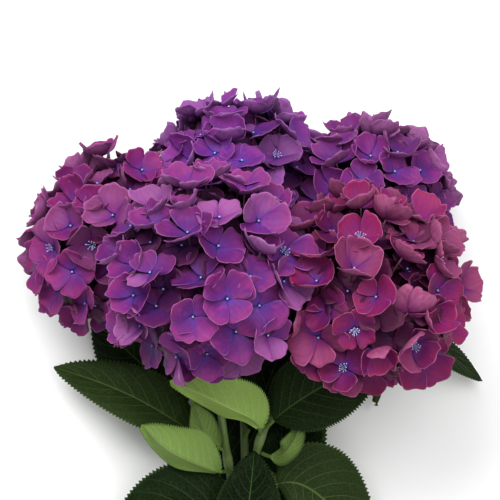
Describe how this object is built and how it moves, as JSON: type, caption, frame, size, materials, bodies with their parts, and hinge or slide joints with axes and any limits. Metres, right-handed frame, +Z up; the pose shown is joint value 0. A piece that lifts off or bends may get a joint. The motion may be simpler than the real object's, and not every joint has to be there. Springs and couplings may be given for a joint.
{
  "type": "cut hydrangea bunch",
  "caption": "Bunch of cut mophead hydrangeas with leafy stems held by a rubber band, lying on its side.",
  "frame": {"origin": "middle of the bunch's bounding box in plan, on the surface that it lies on", "axes": "+Z up, +Y along the bunch towards the flower heads, -Y towards the cut ends of the stems"},
  "size_m": [0.4236, 0.5562, 0.2588],
  "materials": {
    "florets_front": "soft matt sepals with a faint sheen",
    "florets_right": "soft matt sepals with a faint sheen",
    "florets_left": "soft matt sepals with a faint sheen",
    "florets_back": "soft matt sepals with a faint sheen",
    "florets_back_right": "soft matt sepals with a faint sheen",
    "leaf": "dark green, softly glossy leaf",
    "leaf_light": "light green, matt leaf",
    "stem": "green stem, satin",
    "band": "matt natural rubber"
  },
  "bodies": {
    "root": {"head_back": "florets_back", "head_back_right": "florets_back_right", "head_front": "florets_front", "head_left": "florets_left", "head_right": "florets_right", "leaf_bright": "leaf_light", "leaf_centre_dark": "leaf", "leaf_centre_upper": "leaf", "leaf_left_curled": "leaf_light", "leaf_left_long": "leaf", "leaf_left_low": "leaf", "leaf_left_upper": "leaf", "leaf_low_centre": "leaf", "leaf_right_far": "leaf", "leaf_right_hanging": "leaf", "leaf_right_light": "leaf_light", "leaf_right_low": "leaf", "leaf_right_tip": "leaf", "leaf_right_upper": "leaf", "leaf_small": "leaf_light", "leaf_under_left": "leaf", "leaf_under_right": "leaf", "rubber_band": "band", "stem_back": "stem", "stem_back_right": "stem", "stem_front": "stem", "stem_left": "stem", "stem_right": "stem"}
  },
  "joints": []
}
